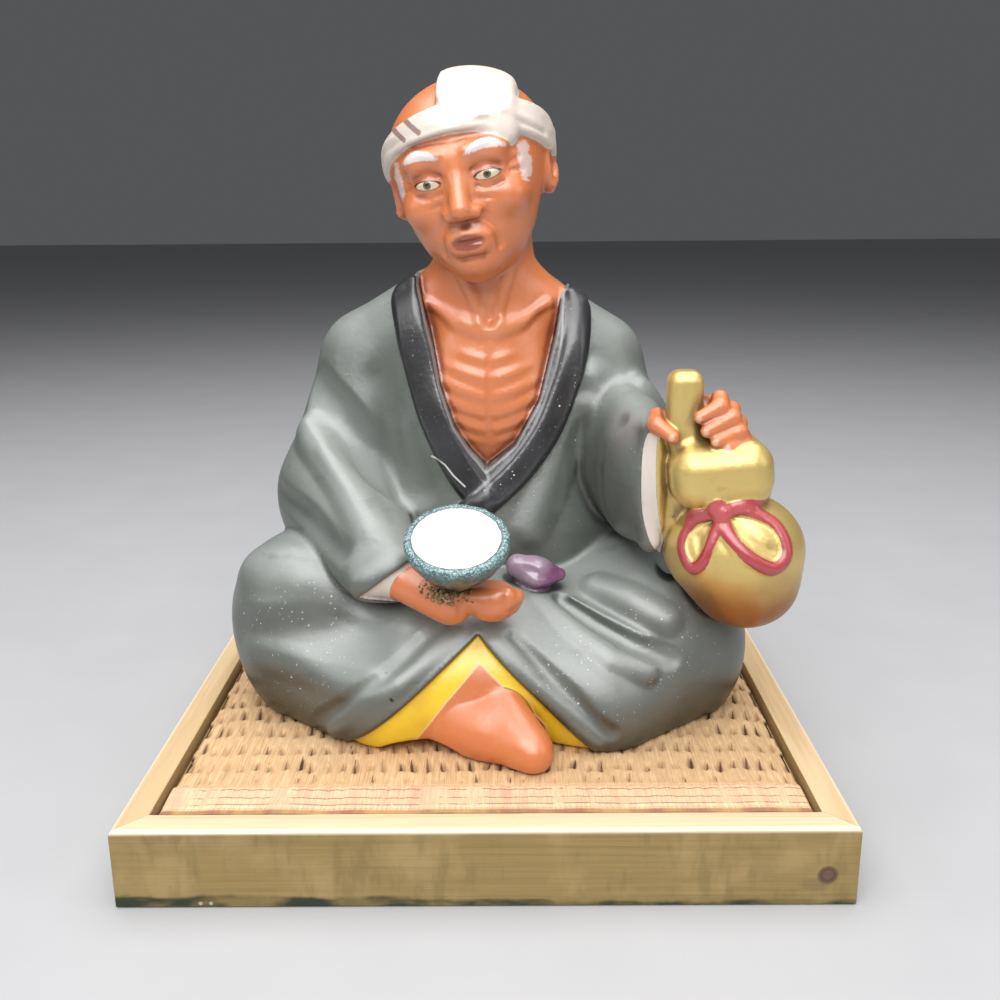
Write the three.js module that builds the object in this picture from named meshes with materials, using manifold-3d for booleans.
// Seated man figurine on a framed wooden base with a woven rush mat. Millimetres, +Z up.
// The origin is the centre of the base's underside. The man faces -Y, and +X is at his left hand.
import * as THREE from "three";
import { triTable } from "three/addons/objects/MarchingCubes.js";
import { mergeVertices } from "three/addons/utils/BufferGeometryUtils.js";
import Module from "manifold-3d";

const wasm = await Module();
wasm.setup();

// The base: four mitred rails round a board.
const BASE_SIDE = 150;
const BASE_HEIGHT = 17.6;
const RAIL_WIDTH = 6.5;
const RAIL_EASE = 1;
const BOARD_TOP = 13.6;

// The rush mat on the board, with a cloth hem at its front and at its back.
const MAT_TOP = 16;
const MAT_EDGE_TOP = 15.2;
const MAT_SLOPE = 7;
const HEM_WIDTH = 13.5;
const HEM_TOP = 16.3;
const HEM_ROUND = 2.6;
const FIT_GAP = 0.3;

// The cup: a thick-walled bowl that leans towards the front.
const CUP_RIM_CENTRE = [-6, -42, 68.3];
const CUP_LEAN_DEG = 25;
const CUP_RADIUS = 11.7;
const CUP_INNER_RADIUS = 9.1;
const CUP_HEIGHT = 12;
const CUP_DEPTH = 5.5;
const CUP_FOOT_RADIUS = 5;
const CUP_FOOT_HEIGHT = 1.5;
const CUP_LOWER_SIDE = [8.4, 4.2];
const CUP_UPPER_SIDE = [10.8, 7.8];
const CUP_WELL = [[6.8, 1.6], [3.5, 0.3]];
const CUP_TURNS = 32;

// The head: where its middle is and how it is turned.
const HEAD_CENTRE = [-3.2, 2, 144];
const HEAD_TILT_DEG = -10;
const HEAD_YAW_DEG = -9;
const HEAD_NOD_DEG = 5;

// How softly the edge of a raised band of cloth falls away.
const BAND_EDGE = 1.4;

// The figure is skinned in cells of this size and then thinned to this many triangles.
const CELL = 1.5;
const TRIANGLES = 8600;
const SKIN_LOW = [-74, -60, 10];
const SKIN_HIGH = [76, 56, 176];
const SOFT_JOINT = 1.5;

const minus = (a, b) => [a[0] - b[0], a[1] - b[1], a[2] - b[2]];
const dot = (a, b) => a[0] * b[0] + a[1] * b[1] + a[2] * b[2];
const length = (a) => Math.hypot(a[0], a[1], a[2]);
const clamp = (x, low, high) => Math.min(Math.max(x, low), high);

// Rows of the matrix that carries a point into a frame turned by degrees about X, Y and Z.
function frameRows(degrees) {
  const [x, y, z] = degrees.map(THREE.MathUtils.degToRad);
  const turn = new THREE.Matrix4().makeRotationFromEuler(new THREE.Euler(x, y, z, "ZYX"));
  const e = turn.elements;
  return [e.slice(0, 3), e.slice(4, 7), e.slice(8, 11)];
}

function seenFrom(origin, rows, p) {
  const d = minus(p, origin);
  return [dot(rows[0], d), dot(rows[1], d), dot(rows[2], d)];
}

// Each form is a function from a point to its distance outside the form's surface.
function egg(centre, radii, degrees = [0, 0, 0]) {
  const rows = frameRows(degrees);
  return (p) => {
    const q = seenFrom(centre, rows, p);
    const near = Math.hypot(q[0] / radii[0], q[1] / radii[1], q[2] / radii[2]);
    const steep = Math.hypot(q[0] / radii[0] ** 2, q[1] / radii[1] ** 2, q[2] / radii[2] ** 2);
    return steep < 1e-9 ? -Math.min(...radii) : (near * (near - 1)) / steep;
  };
}

function limb(a, b, startRadius, endRadius) {
  const along = minus(b, a);
  const square = dot(along, along);
  return (p) => {
    const d = minus(p, a);
    const t = clamp(dot(d, along) / square, 0, 1);
    const off = length([d[0] - along[0] * t, d[1] - along[1] * t, d[2] - along[2] * t]);
    return off - startRadius - (endRadius - startRadius) * t;
  };
}

function block(centre, half, round, degrees = [0, 0, 0]) {
  const rows = frameRows(degrees);
  return (p) => {
    const q = seenFrom(centre, rows, p).map((v, i) => Math.abs(v) - half[i] + round);
    const outside = length(q.map((v) => Math.max(v, 0)));
    return outside + Math.min(Math.max(...q), 0) - round;
  };
}

const soften = (a, b, reach) => {
  const h = Math.max(reach - Math.abs(a - b), 0) / reach;
  return Math.min(a, b) - (h * h * reach) / 4;
};
const joined = (reach, ...forms) => (p) => forms.reduce((d, form) => soften(d, form(p), reach), 1e3);
const carved = (reach, body, tool) => (p) => -soften(-body(p), tool(p), reach);

// A smooth swell along a path, to add to a form or, when the height is negative, to sink into it.
function swell(points, width, height) {
  const runs = points.slice(1).map((b, i) => limb(points[i], b, 0, 0));
  return (p) => {
    const t = Math.min(...runs.map((run) => run(p))) / width;
    return t < 1 ? height * (1 - t * t) ** 2 : 0;
  };
}
const swollen = (form, ...swells) => (p) => form(p) - swells.reduce((sum, s) => sum + s(p), 0);

// The corners of a cell, and the pairs of corners that its twelve edges join, as the table numbers them.
const CELL_CORNERS = [[0, 0, 0], [1, 0, 0], [1, 1, 0], [0, 1, 0], [0, 0, 1], [1, 0, 1], [1, 1, 1], [0, 1, 1]];
const CELL_EDGES = [
  [0, 1], [1, 2], [3, 2], [0, 3], [4, 5], [5, 6], [7, 6], [4, 7], [0, 4], [1, 5], [2, 6], [3, 7],
];

// Skins a form with triangles where its surface crosses the edges of a grid of cells.
// What reaches past the box is cut off flat there.
function skin(form, low, high, cell) {
  const counts = low.map((v, i) => Math.ceil((high[i] - v) / cell) + 1);
  const at = (i, j, k) => (k * counts[1] + j) * counts[0] + i;
  const place = (i, j, k) => [low[0] + i * cell, low[1] + j * cell, low[2] + k * cell];
  const values = new Float32Array(counts[0] * counts[1] * counts[2]);
  const isEdge = (n, count) => n === 0 || n === count - 1;
  const least = 0.02 * cell;
  // Points are worked out in cubes, and a cube far from the surface takes its middle's distance.
  const cube = 5;
  const reach = (Math.sqrt(3) / 2) * cube * cell * 1.5 + 3;
  const upTo = (n, count) => Math.min(n + cube, count);
  for (let k0 = 0; k0 < counts[2]; k0 += cube)
    for (let j0 = 0; j0 < counts[1]; j0 += cube)
      for (let i0 = 0; i0 < counts[0]; i0 += cube) {
        const middle = form(place(i0 + cube / 2, j0 + cube / 2, k0 + cube / 2));
        const far = Math.abs(middle) > reach;
        for (let k = k0; k < upTo(k0, counts[2]); k++)
          for (let j = j0; j < upTo(j0, counts[1]); j++)
            for (let i = i0; i < upTo(i0, counts[0]); i++) {
              const outer = isEdge(i, counts[0]) || isEdge(j, counts[1]) || isEdge(k, counts[2]);
              const d = far ? middle : form(place(i, j, k));
              const clear = d < 0 ? Math.min(d, -least) : Math.max(d, least);
              values[at(i, j, k)] = outer ? Math.max(clear, cell) : clear;
            }
      }
  const vertexOf = new Map();
  const positions = [];
  const triangles = [];
  const vertexOn = (i, j, k, edge) => {
    const [m, n] = CELL_EDGES[edge];
    const [a, b] = [CELL_CORNERS[m], CELL_CORNERS[n]];
    const axis = [0, 1, 2].find((c) => a[c] !== b[c]);
    const start = at(i + a[0], j + a[1], k + a[2]);
    const key = start * 3 + axis;
    if (!vertexOf.has(key)) {
      const [da, db] = [values[start], values[at(i + b[0], j + b[1], k + b[2])]];
      const p = place(i + a[0], j + a[1], k + a[2]);
      p[axis] += cell * clamp(da / (da - db), 0.03, 0.97);
      vertexOf.set(key, positions.length / 3);
      positions.push(...p);
    }
    return vertexOf.get(key);
  };
  for (let k = 0; k < counts[2] - 1; k++)
    for (let j = 0; j < counts[1] - 1; j++)
      for (let i = 0; i < counts[0] - 1; i++) {
        let kind = 0;
        CELL_CORNERS.forEach((c, n) => {
          if (values[at(i + c[0], j + c[1], k + c[2])] < 0) kind |= 1 << n;
        });
        if (kind === 0 || kind === 255) continue;
        for (let n = 16 * kind; triTable[n] !== -1; n += 3)
          for (const edge of [triTable[n], triTable[n + 2], triTable[n + 1]])
            triangles.push(vertexOn(i, j, k, edge));
      }
  return { positions, triangles };
}

// The sum of squared distances to the planes of a triangle, weighted by its area, as ten numbers.
function planeError(a, b, c) {
  const u = minus(b, a);
  const v = minus(c, a);
  const n = [u[1] * v[2] - u[2] * v[1], u[2] * v[0] - u[0] * v[2], u[0] * v[1] - u[1] * v[0]];
  const size = length(n) || 1;
  const [x, y, z] = n.map((w) => w / size);
  const w = -dot([x, y, z], a);
  const terms = [x * x, x * y, x * z, x * w, y * y, y * z, y * w, z * z, z * w, w * w];
  return terms.map((term) => term * size);
}

function errorAt(e, [x, y, z]) {
  return (
    e[0] * x * x + e[4] * y * y + e[7] * z * z + e[9] +
    2 * (e[1] * x * y + e[2] * x * z + e[3] * x + e[5] * y * z + e[6] * y + e[8] * z)
  );
}

// The place where the error is least, or null where the planes don't settle one.
function leastError(e) {
  const cofactors = [e[4] * e[7] - e[5] * e[5], e[2] * e[5] - e[1] * e[7], e[1] * e[5] - e[2] * e[4]];
  const whole = e[0] * cofactors[0] + e[1] * cofactors[1] + e[2] * cofactors[2];
  const scale = Math.max(e[0], e[4], e[7]);
  if (Math.abs(whole) < 1e-3 * scale ** 3) return null;
  const yy = e[0] * e[7] - e[2] * e[2];
  const yz = e[1] * e[2] - e[0] * e[5];
  const zz = e[0] * e[4] - e[1] * e[1];
  return [
    -(cofactors[0] * e[3] + cofactors[1] * e[6] + cofactors[2] * e[8]) / whole,
    -(cofactors[1] * e[3] + yy * e[6] + yz * e[8]) / whole,
    -(cofactors[2] * e[3] + yz * e[6] + zz * e[8]) / whole,
  ];
}

// Joins neighbouring vertices where that changes the surface least, until few enough triangles are left.
function thinned({ positions, triangles }, wanted) {
  const count = positions.length / 3;
  const places = Array.from({ length: count }, (_, i) => positions.slice(3 * i, 3 * i + 3));
  const faces = [];
  for (let i = 0; i < triangles.length; i += 3) faces.push(triangles.slice(i, i + 3));
  const facesOf = places.map(() => new Set());
  const errors = places.map(() => new Array(10).fill(0));
  faces.forEach((face, f) => {
    const error = planeError(...face.map((v) => places[v]));
    face.forEach((v) => {
      facesOf[v].add(f);
      errors[v] = errors[v].map((e, i) => e + error[i]);
    });
  });
  const stamps = new Uint32Array(count);
  const heap = [];
  const sink = (entry) => {
    let i = heap.push(entry) - 1;
    while (i > 0) {
      const parent = (i - 1) >> 1;
      if (heap[parent].cost <= entry.cost) break;
      heap[i] = heap[parent];
      i = parent;
    }
    heap[i] = entry;
  };
  const take = () => {
    const top = heap[0];
    const last = heap.pop();
    if (!heap.length) return top;
    let i = 0;
    for (;;) {
      let child = 2 * i + 1;
      if (child >= heap.length) break;
      if (child + 1 < heap.length && heap[child + 1].cost < heap[child].cost) child++;
      if (heap[child].cost >= last.cost) break;
      heap[i] = heap[child];
      i = child;
    }
    heap[i] = last;
    return top;
  };
  const neighbours = (v) => {
    const found = new Set();
    for (const f of facesOf[v]) for (const w of faces[f]) if (w !== v) found.add(w);
    return found;
  };
  const consider = (a, b) => {
    const error = errors[a].map((e, i) => e + errors[b][i]);
    const middle = [0, 1, 2].map((i) => (places[a][i] + places[b][i]) / 2);
    const span = length(minus(places[a], places[b]));
    const best = leastError(error);
    const place = best && length(minus(best, middle)) < span ? best : middle;
    const cost = errorAt(error, place) + 1e-4 * span * span;
    sink({ cost, a, b, place, error, stampA: stamps[a], stampB: stamps[b] });
  };
  places.forEach((_, v) => {
    for (const w of neighbours(v)) if (v < w) consider(v, w);
  });
  const normalOf = (face, moved, place) => {
    const [p, q, r] = face.map((v) => (v === moved ? place : places[v]));
    const u = minus(q, p);
    const w = minus(r, p);
    return [u[1] * w[2] - u[2] * w[1], u[2] * w[0] - u[0] * w[2], u[0] * w[1] - u[1] * w[0]];
  };
  const keepsFacing = (v, other, place) => {
    for (const f of facesOf[v]) {
      if (faces[f].includes(other)) continue;
      const before = normalOf(faces[f], -1, place);
      const after = normalOf(faces[f], v, place);
      if (dot(before, after) < 0.3 * length(before) * length(after)) return false;
      if (length(after) < 1e-3) return false;
    }
    return true;
  };
  let left = faces.length;
  while (left > wanted && heap.length) {
    const { a, b, place, error, stampA, stampB } = take();
    if (stampA !== stamps[a] || stampB !== stamps[b]) continue;
    const around = neighbours(a);
    const shared = [...neighbours(b)].filter((v) => around.has(v));
    if (shared.length !== 2) continue;
    if (!keepsFacing(a, b, place) || !keepsFacing(b, a, place)) continue;
    for (const f of [...facesOf[b]]) {
      if (faces[f].includes(a)) {
        faces[f].forEach((v) => facesOf[v].delete(f));
        faces[f] = null;
        left--;
      } else {
        faces[f] = faces[f].map((v) => (v === b ? a : v));
        facesOf[a].add(f);
      }
    }
    facesOf[b].clear();
    stamps[b]++;
    stamps[a]++;
    places[a] = place;
    errors[a] = error;
    for (const w of neighbours(a)) consider(a, w);
  }
  const kept = faces.filter((face) => face);
  const numbers = new Map();
  kept.flat().forEach((v) => {
    if (!numbers.has(v)) numbers.set(v, numbers.size);
  });
  return {
    positions: [...numbers.keys()].flatMap((v) => places[v]),
    triangles: kept.flat().map((v) => numbers.get(v)),
  };
}

const toSolid = ({ positions, triangles }) =>
  new wasm.Manifold(
    new wasm.Mesh({
      numProp: 3,
      vertProperties: new Float32Array(positions),
      triVerts: new Uint32Array(triangles),
    }),
  );

// A three.js geometry as a solid, and back again.
function solidOf(geometry) {
  const bare = geometry.clone();
  bare.deleteAttribute("normal");
  bare.deleteAttribute("uv");
  const merged = mergeVertices(bare, 1e-4);
  return new wasm.Manifold(
    new wasm.Mesh({
      numProp: 3,
      vertProperties: new Float32Array(merged.attributes.position.array),
      triVerts: new Uint32Array(merged.index.array),
    }),
  );
}

function geometryOf(solid) {
  const mesh = solid.getMesh();
  const positions = new Float32Array(mesh.numVert * 3);
  for (let i = 0; i < mesh.numVert; i++)
    positions.set(mesh.vertProperties.subarray(i * mesh.numProp, i * mesh.numProp + 3), i * 3);
  const geometry = new THREE.BufferGeometry();
  geometry.setAttribute("position", new THREE.BufferAttribute(positions, 3));
  geometry.setIndex(new THREE.BufferAttribute(new Uint32Array(mesh.triVerts), 1));
  geometry.computeVertexNormals();
  return geometry;
}

const boxSolid = (low, high) => {
  const size = minus(high, low);
  const box = new THREE.BoxGeometry(...size);
  box.translate(low[0] + size[0] / 2, low[1] + size[1] / 2, low[2] + size[2] / 2);
  return solidOf(box);
};

// The distance outside a closed outline that is seen from the front, in X and Z.
function outlineFromFront(points) {
  return (p) => {
    let square = Infinity;
    let sign = 1;
    points.forEach(([bx, bz], i) => {
      const [ax, az] = points[(i + points.length - 1) % points.length];
      const [ex, ez, wx, wz] = [ax - bx, az - bz, p[0] - bx, p[2] - bz];
      const t = clamp((wx * ex + wz * ez) / (ex * ex + ez * ez), 0, 1);
      square = Math.min(square, (wx - ex * t) ** 2 + (wz - ez * t) ** 2);
      const tests = [p[2] >= bz, p[2] < az, ex * wz > ez * wx];
      if (tests.every((v) => v) || tests.every((v) => !v)) sign = -sign;
    });
    return sign * Math.sqrt(square);
  };
}

// A level band along a path, with soft edges.
function band(points, width, height) {
  const runs = points.slice(1).map((b, i) => limb(points[i], b, 0, 0));
  return (p) => {
    const t = clamp((width - Math.min(...runs.map((run) => run(p)))) / BAND_EDGE, 0, 1);
    return height * t * t * (3 - 2 * t);
  };
}

// The robe over the trunk, with sloping shoulders and the crossed collar bands.
const NECKLINE = [
  [-19, 126], [-12.5, 103.5], [-8.2, 88.6], [-4, 81.5], [0.4, 76],
  [7, 80.9], [13.1, 91.5], [16.8, 105.6], [19.2, 117], [21, 126],
];
const trunk = swollen(
  joined(
    10,
    egg([0, 16, 84], [33, 24, 30]),
    egg([0, 14, 52], [38, 26, 32]),
    limb([-12, 10, 111], [-29, 14, 99], 11.5, 13),
    limb([12, 11, 109], [27, 13, 98], 11.5, 13),
  ),
  band([[-20, 4, 118], [-17.2, -2, 101], [-12.8, -6, 86], [-6.5, -8, 75.5], [-2, -9, 70]], 4.4, 1.3),
  band([[22.4, 7, 114], [20.8, -2, 99], [15.6, -5.5, 84], [7, -8.5, 73], [-8, -10, 60]], 4.4, 1.9),
  band([[-18, 9, 117], [-13, 18, 118], [0, 22, 119], [13, 18, 118], [19, 12, 115]], 4.4, 1),
  swell([[26.5, -2, 96], [27, -6, 88], [30, -16, 68]], 6, 1.6),
  swell([[24, -3, 88], [18, -4.5, 75], [10.8, -9.5, 60]], 6, 1.5),
  swell([[-14, 40, 100], [-17, 44, 76], [-20, 42, 50]], 9, 1.4),
  swell([[13, 40, 100], [17, 43, 76], [22, 42, 50]], 9, 1.4),
);
const neckOpening = outlineFromFront(NECKLINE);
const neckline = (p) => Math.max(neckOpening(p), p[1] - 9);
// His right sleeve hangs from the shoulder to the elbow and comes forward into the lap.
const rightSleeve = swollen(
  joined(
    7,
    limb([-29.5, 14, 98], [-37.5, 5, 68], 13, 14.5),
    limb([-37.5, 4, 66], [-21, -29, 56.5], 14.5, 7.5),
    limb([-38, 0, 60], [-28, -33, 54.5], 11, 3.2),
  ),
  swell([[-45, 2, 96], [-36, -4, 87], [-29, -6, 79], [-22, -9, 70]], 6, -2.6),
  swell([[-45, -1, 84], [-38.5, -8, 78], [-33.5, -14, 73], [-27, -25, 66]], 6.5, 1.7),
  swell([[-49, -2, 68], [-40, -16, 63], [-31, -27, 59]], 5, -1.2),
  swell([[-44, 22, 92], [-52, 16, 74], [-48, 14, 58]], 7, 1.5),
);
// His left sleeve comes forward at the side and hangs down below the raised forearm.
const leftSleeve = swollen(
  joined(
    6,
    limb([26, 13, 97], [36, 4, 75], 12.5, 13),
    egg([34.5, -5, 76.5], [8.5, 25, 18]),
    block([37.6, -21, 76], [2.8, 11, 15.4], 2.6),
  ),
  swell([[40, -1, 96], [46, 2, 84], [48, 0, 70]], 6, 1.4),
  swell([[38, 24, 92], [47, 18, 76], [44, 14, 58]], 7, 1.5),
);
// The crossed legs under the robe, parted in front over the lining.
const PARTING = [[-1.9, 42.5], [-33.8, 15.5], [-33.8, 5], [24.5, 5], [24.5, 16]];
const legs = swollen(
  joined(
    10,
    limb([-18, 18, 38], [-44, -8, 40], 21, 20),
    limb([-42, -10, 27], [-22, -27, 24], 18, 16),
    limb([18, 18, 36], [42.5, -10, 36.5], 20, 19.5),
    limb([43.5, -10, 27], [26, -27, 23], 19.5, 16),
    egg([0, -12, 28], [34, 30, 23]),
    egg([0, 16, 30], [45, 27, 26]),
  ),
  swell([[-57, -15, 53], [-40, -22, 54], [-20, -24, 45]], 9, 1.7),
  swell([[-56, -20, 40], [-42, -29, 42], [-20, -35, 39]], 7, -1.3),
  swell([[10, -20, 46], [20.8, -30, 41], [29, -35, 37], [37, -36, 34]], 4.5, 1.9),
  swell([[17, -22, 45], [25.4, -28, 42], [33.8, -32.5, 39], [43, -34, 36]], 3.6, -1.9),
  swell([[26, -18, 49], [34.5, -25, 47], [42, -29, 44]], 5, 1.8),
  swell([[-6, -33, 42], [-20, -41, 33], [-37, -36, 18]], 3.2, 1.1),
  swell([[-11, -32, 43], [-24, -40, 34], [-41, -34, 20]], 3, -0.9),
  swell([[2, -35, 41], [12, -40, 32], [25, -43, 19]], 3, 1.1),
  swell([[6, -34, 41], [16, -40, 33], [28, -42, 22]], 3, -0.9),
);
const parting = outlineFromFront(PARTING);
const opened = (p) => {
  const t = clamp(0.5 - parting(p) / 1.2, 0, 1);
  return legs(p) + (p[1] < -20 ? 1.5 * t * t * (3 - 2 * t) : 0);
};
const robe = joined(3, carved(1.5, joined(3, trunk, rightSleeve, leftSleeve), neckline), opened);
const sash = joined(
  2,
  limb([7.5, -18, 53], [13, -18.5, 51], 3.4, 5),
  limb([13, -18.5, 51], [20, -18, 50.5], 5, 2),
);

// The bare chest and neck inside the collar, with a few ribs, and the bare foot.
const RIB_HEIGHTS = [101, 96.5, 92, 87.5];
const chest = swollen(
  joined(6, egg([0.5, 16, 92], [22, 22, 28]), limb([0.5, 10, 108], [-1.5, 6, 132], 12, 10.5)),
  swell([[-13, -1, 113], [-2, -4, 109.5]], 3.5, 1.3),
  swell([[15, 0, 113], [5, -4, 109.5]], 3.5, 1.3),
  ...RIB_HEIGHTS.map((z) => swell([[-9, -4, z + 1.5], [1.5, -5.5, z], [12, -4, z + 1.5]], 1.9, 0.7)),
);
const foot = joined(
  4,
  limb([-1.5, -31, 33], [11, -45, 20.5], 4.6, 5),
  limb([-6, -34, 22], [13, -46.5, 19], 8.5, 4.2),
  limb([-11, -32, 20], [0, -38, 20], 7, 8),
);
const body = joined(1, robe, sash, chest, foot);

// The head in its own frame: X to his left, Y to the back, Z to the crown.
const bothSides = (form) => (p) => form([Math.abs(p[0]), p[1], p[2]]);
const skull = joined(
  5,
  egg([0, 4, 5], [19.3, 22, 17.2]),
  egg([0, -4, -5], [15.5, 14.5, 17]),
  limb([0, -9, -15], [0, -11.5, -17], 9, 6.5),
  limb([0, 7, -8], [0, 7, -20], 11.5, 10.5),
);
const face = joined(
  1.6,
  carved(
    2.5,
    joined(
      2.5,
      skull,
      limb([-8, -15.4, 4.6], [8, -15.4, 4.6], 3.2, 3.2),
      bothSides(egg([9.5, -12, -5], [5, 5.2, 4.6])),
    ),
    bothSides(egg([6.8, -20, 0.6], [4.2, 3, 2.6])),
  ),
  bothSides(egg([6.7, -15.6, 0.2], [3.5, 2.4, 2.3])),
  limb([0, -17.4, 2.4], [0, -21, -6.3], 1.7, 2.5),
  bothSides(egg([2.6, -18.8, -7.4], [1.8, 2.2, 1.6])),
  egg([0, -14.8, -12.6], [6.5, 4.6, 4.6]),
  limb([-3.4, -18.6, -12.4], [3.4, -18.6, -12.4], 1, 1),
  limb([-2.6, -18.3, -14.6], [2.6, -18.3, -14.6], 1.1, 1.1),
  bothSides(
    carved(1, egg([17.6, 3, -1.5], [2.6, 4.4, 6.2], [0, 0, 14]), egg([20.1, 1.6, -0.9], [1.6, 2.5, 4])),
  ),
);
// A towel tied round the brow, with its end folded over the crown.
const towelPlane = (p) => Math.abs(p[2] - 11.5 + (p[1] + 17) * 0.22) - 4.6;
const towel = (p) => -soften(-(skull(p) - 1.5), -towelPlane(p), 1.5);
const towelEnd = (p) => -soften(-(skull(p) - 1.8), -block([3, -7, 18], [8.6, 9.5, 12], 4)(p), 2);
const headForm = joined(1, face, towel, towelEnd);
const headRows = frameRows([HEAD_NOD_DEG, HEAD_TILT_DEG, HEAD_YAW_DEG]);
const head = (p) => headForm(seenFrom(HEAD_CENTRE, headRows, p));

// The gourd, the hand that holds its neck and the clay that fills the mouth of the sleeve.
const waistRing = [0, 1, 2, 3, 4, 5, 6, 7, 8].map((i) => {
  const angle = (Math.PI / 4) * i;
  const across = 10.4 * Math.cos(angle);
  return [54.6 + across, -30 + 10 * Math.sin(angle), 71.4 + 0.26 * across];
});
const LEFT_LOOP = [
  [52, -38, 72.4], [47.4, -36, 70], [44.3, -37, 64.6], [46, -40.5, 60.7], [50, -40.5, 67], [52, -38, 72.4],
];
const RIGHT_LOOP = [
  [53, -38, 72.4], [59, -38, 72], [64.5, -39.5, 67], [64.5, -42.5, 61.5], [57, -43.3, 65], [53, -38, 72.4],
];
const gourd = swollen(
  joined(
    3,
    egg([56.8, -30, 60], [15.2, 15, 14.4]),
    egg([57.2, -30, 54], [11.6, 12, 11]),
    egg([52.3, -30, 79.3], [11.3, 11, 9]),
    limb([49.3, -30, 86], [44.2, -30, 98.6], 5, 4.1),
  ),
  band(waistRing, 2.4, 1.2),
  band(LEFT_LOOP, 2.2, 1.2),
  band(RIGHT_LOOP, 2.2, 1.2),
);
const fingers = [0, 1, 2, 3].map((i) =>
  limb([48.4 + 2.2 * i, -30, 95 - 0.9 * i], [48 + 2.1 * i, -37, 89.6 - 0.5 * i], 2, 1.7),
);
const gourdHand = joined(
  1.5,
  egg([51.2, -27.5, 90.5], [6, 7.5, 5.6]),
  ...fingers,
  limb([40.8, -27, 90.5], [42.6, -34.5, 87.8], 3, 2.3),
  limb([42, -22, 86], [50, -24, 90], 5, 5),
  egg([43.5, -23, 70], [6.5, 8, 17]),
);
const lapHand = joined(
  1.2,
  limb([-20, -31, 55], [-8, -36.5, 51.5], 4.6, 5.4),
  egg([1.5, -36.5, 51.5], [6, 5.6, 4.6]),
  limb([-3, -38.5, 52.8], [4.6, -39.5, 53.6], 2.6, 2.3),
  limb([5.5, -35, 50], [6.6, -38, 53], 2.2, 2),
);

// The cup's profile, as radius and height above its foot, from the axis out and back to the axis.
function cupProfile(grow) {
  const wall = (CUP_RADIUS - CUP_INNER_RADIUS) / 2;
  const rimRadius = (CUP_RADIUS + CUP_INNER_RADIUS) / 2;
  const outline = [
    [0, -grow],
    [CUP_FOOT_RADIUS + grow, -grow],
    [CUP_FOOT_RADIUS + grow, CUP_FOOT_HEIGHT],
    [CUP_LOWER_SIDE[0] + grow, CUP_LOWER_SIDE[1]],
    [CUP_UPPER_SIDE[0] + grow, CUP_UPPER_SIDE[1]],
    [CUP_RADIUS + grow, CUP_HEIGHT - wall],
  ];
  const turns = 4;
  for (let i = 1; i < turns; i++) {
    const angle = (Math.PI * i) / turns;
    outline.push([
      rimRadius + (wall + grow) * Math.cos(angle),
      CUP_HEIGHT - wall + (wall + grow) * Math.sin(angle),
    ]);
  }
  outline.push([CUP_INNER_RADIUS - grow, CUP_HEIGHT - wall]);
  for (const [radius, rise] of CUP_WELL) outline.push([radius, CUP_HEIGHT - CUP_DEPTH + rise]);
  outline.push([0, CUP_HEIGHT - CUP_DEPTH]);
  return outline.map(([r, h]) => new THREE.Vector2(r, h));
}

function cupSolid(grow) {
  const shape = new THREE.LatheGeometry(cupProfile(grow), CUP_TURNS);
  shape.rotateX(Math.PI / 2);
  shape.translate(0, 0, -CUP_HEIGHT);
  shape.rotateX(THREE.MathUtils.degToRad(CUP_LEAN_DEG));
  shape.translate(...CUP_RIM_CENTRE);
  return solidOf(shape);
}

const cup = cupSolid(0);
const aboveMat = boxSolid([-BASE_SIDE, -BASE_SIDE, MAT_TOP], [BASE_SIDE, BASE_SIDE, 2 * BASE_SIDE]);
const whole = joined(SOFT_JOINT, body, head, gourd, gourdHand, lapHand);
const figureWhole = toSolid(thinned(skin(whole, SKIN_LOW, SKIN_HIGH, CELL), TRIANGLES))
  .intersect(aboveMat)
  .subtract(cupSolid(FIT_GAP));
// Thinning can leave a speck where two surfaces nearly meet, and only the figure itself is kept.
const figure = figureWhole.decompose().reduce((a, b) => (b.volume() > a.volume() ? b : a));

// A rail of the frame: its end faces are mitred where it meets its neighbours.
function railSolid(quarterTurns) {
  const outer = BASE_SIDE / 2;
  const inner = outer - RAIL_WIDTH;
  const outline = [[inner, 0], [outer, 0]];
  const steps = 4;
  for (let i = 0; i <= steps; i++) {
    const angle = ((Math.PI / 2) * i) / steps;
    outline.push([
      outer - RAIL_EASE + RAIL_EASE * Math.cos(angle),
      BASE_HEIGHT - RAIL_EASE + RAIL_EASE * Math.sin(angle),
    ]);
  }
  outline.push([inner + RAIL_EASE / 2, BASE_HEIGHT], [inner, BASE_HEIGHT - RAIL_EASE / 2]);
  const count = outline.length;
  const positions = [];
  for (const end of [-1, 1])
    for (const [r, z] of outline) positions.push(end * r, -r, z);
  const indices = [];
  for (let i = 0; i < count; i++) {
    const next = (i + 1) % count;
    indices.push(i, count + i, count + next, i, count + next, next);
  }
  for (let i = 1; i < count - 1; i++) {
    indices.push(0, i, i + 1);
    indices.push(count, count + i + 1, count + i);
  }
  const cos = [1, 0, -1, 0][quarterTurns];
  const sin = [0, 1, 0, -1][quarterTurns];
  for (let i = 0; i < positions.length; i += 3) {
    const [x, y] = [positions[i], positions[i + 1]];
    positions[i] = x * cos - y * sin;
    positions[i + 1] = x * sin + y * cos;
  }
  const geometry = new THREE.BufferGeometry();
  geometry.setAttribute("position", new THREE.Float32BufferAttribute(positions, 3));
  geometry.setIndex(indices);
  return solidOf(geometry);
}

// A closed outline in the plane of two axes, extruded along the third.
function prism(outline, from, to) {
  const shape = new THREE.Shape(outline.map(([a, b]) => new THREE.Vector2(a, b)));
  const body = new THREE.ExtrudeGeometry(shape, { depth: to - from, bevelEnabled: false });
  body.translate(0, 0, from);
  return body;
}

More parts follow.
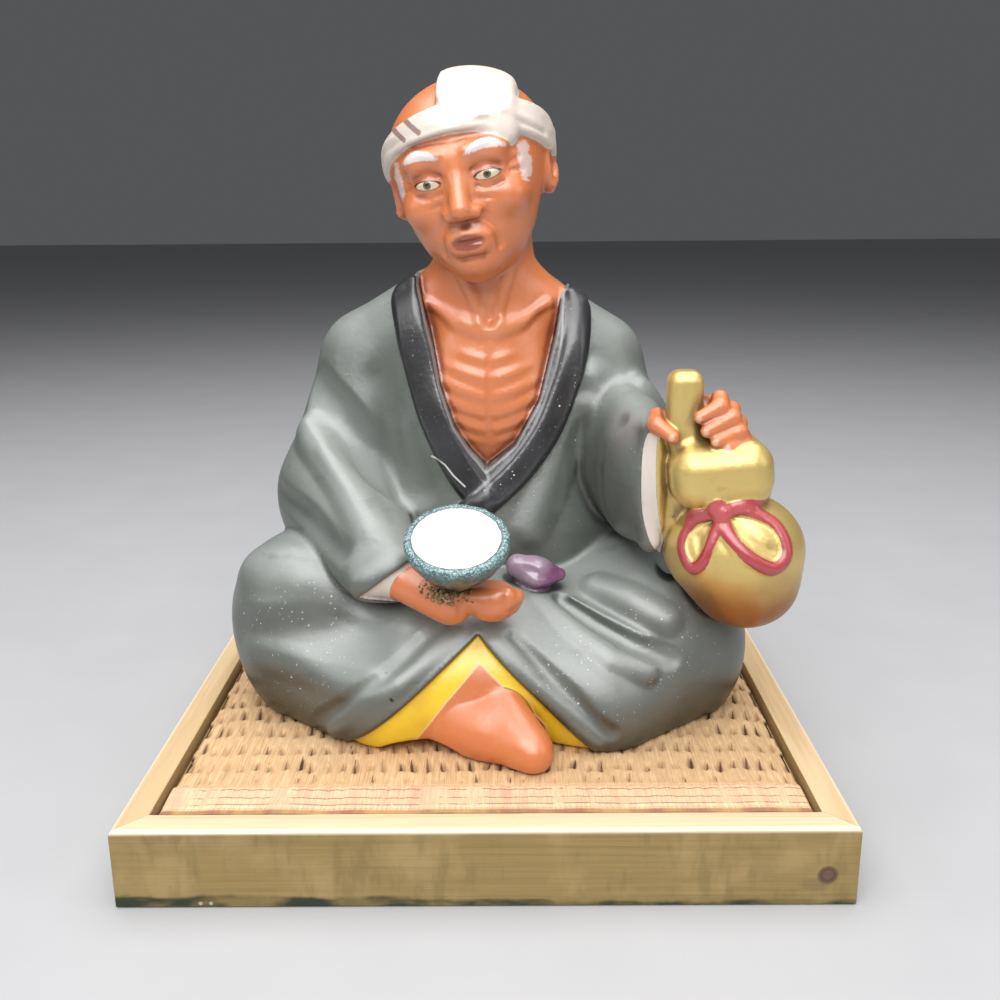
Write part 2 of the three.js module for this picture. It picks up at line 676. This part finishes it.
const inside = BASE_SIDE / 2 - RAIL_WIDTH;
const matHalf = inside - FIT_GAP;
const matEnd = matHalf - HEM_WIDTH;
const board = boxSolid([-inside, -inside, 0], [inside, inside, BOARD_TOP]);

function matSolid() {
  const outline = [
    [-matHalf, BOARD_TOP],
    [matHalf, BOARD_TOP],
    [matHalf, MAT_EDGE_TOP],
    [matHalf - MAT_SLOPE, MAT_TOP],
    [-matHalf + MAT_SLOPE, MAT_TOP],
    [-matHalf, MAT_EDGE_TOP],
  ];
  const body = prism(outline, -matEnd, matEnd);
  body.rotateX(Math.PI / 2);
  return solidOf(body);
}

// The hem at one end of the mat; side is -1 for the front and 1 for the back.
function hemSolid(side) {
  const outline = [[matEnd, BOARD_TOP], [matHalf, BOARD_TOP]];
  const steps = 5;
  for (let i = 0; i <= steps; i++) {
    const angle = ((Math.PI / 2) * i) / steps;
    outline.push([
      matHalf - HEM_ROUND + HEM_ROUND * Math.cos(angle),
      HEM_TOP - HEM_ROUND + HEM_ROUND * Math.sin(angle),
    ]);
  }
  outline.push([matEnd, HEM_TOP]);
  const body = prism(outline, -matHalf, matHalf);
  body.rotateX(Math.PI / 2);
  body.rotateZ(Math.PI / 2);
  if (side < 0) body.rotateZ(Math.PI);
  return solidOf(body);
}

const group = new THREE.Group();
function put(name, solid, colour, roughness) {
  const material = new THREE.MeshStandardMaterial({ color: colour, roughness, metalness: 0 });
  const mesh = new THREE.Mesh(geometryOf(solid), material);
  mesh.name = name;
  group.add(mesh);
}

put("figure", figure, 0x5a635c, 0.45);
put("cup", cup, 0x3f6f78, 0.3);
put("mat", matSolid(), 0xc49a62, 0.85);
put("mat_hem_front", hemSolid(-1), 0xb98d66, 0.9);
put("mat_hem_back", hemSolid(1), 0xb98d66, 0.9);
put("base_board", board, 0xb39a68, 0.7);
put("rail_front", railSolid(0), 0xa79a66, 0.6);
put("rail_left", railSolid(3), 0xc4ab7a, 0.6);
put("rail_right", railSolid(1), 0xc4ab7a, 0.6);
put("rail_back", railSolid(2), 0xa79a66, 0.6);

export default group;
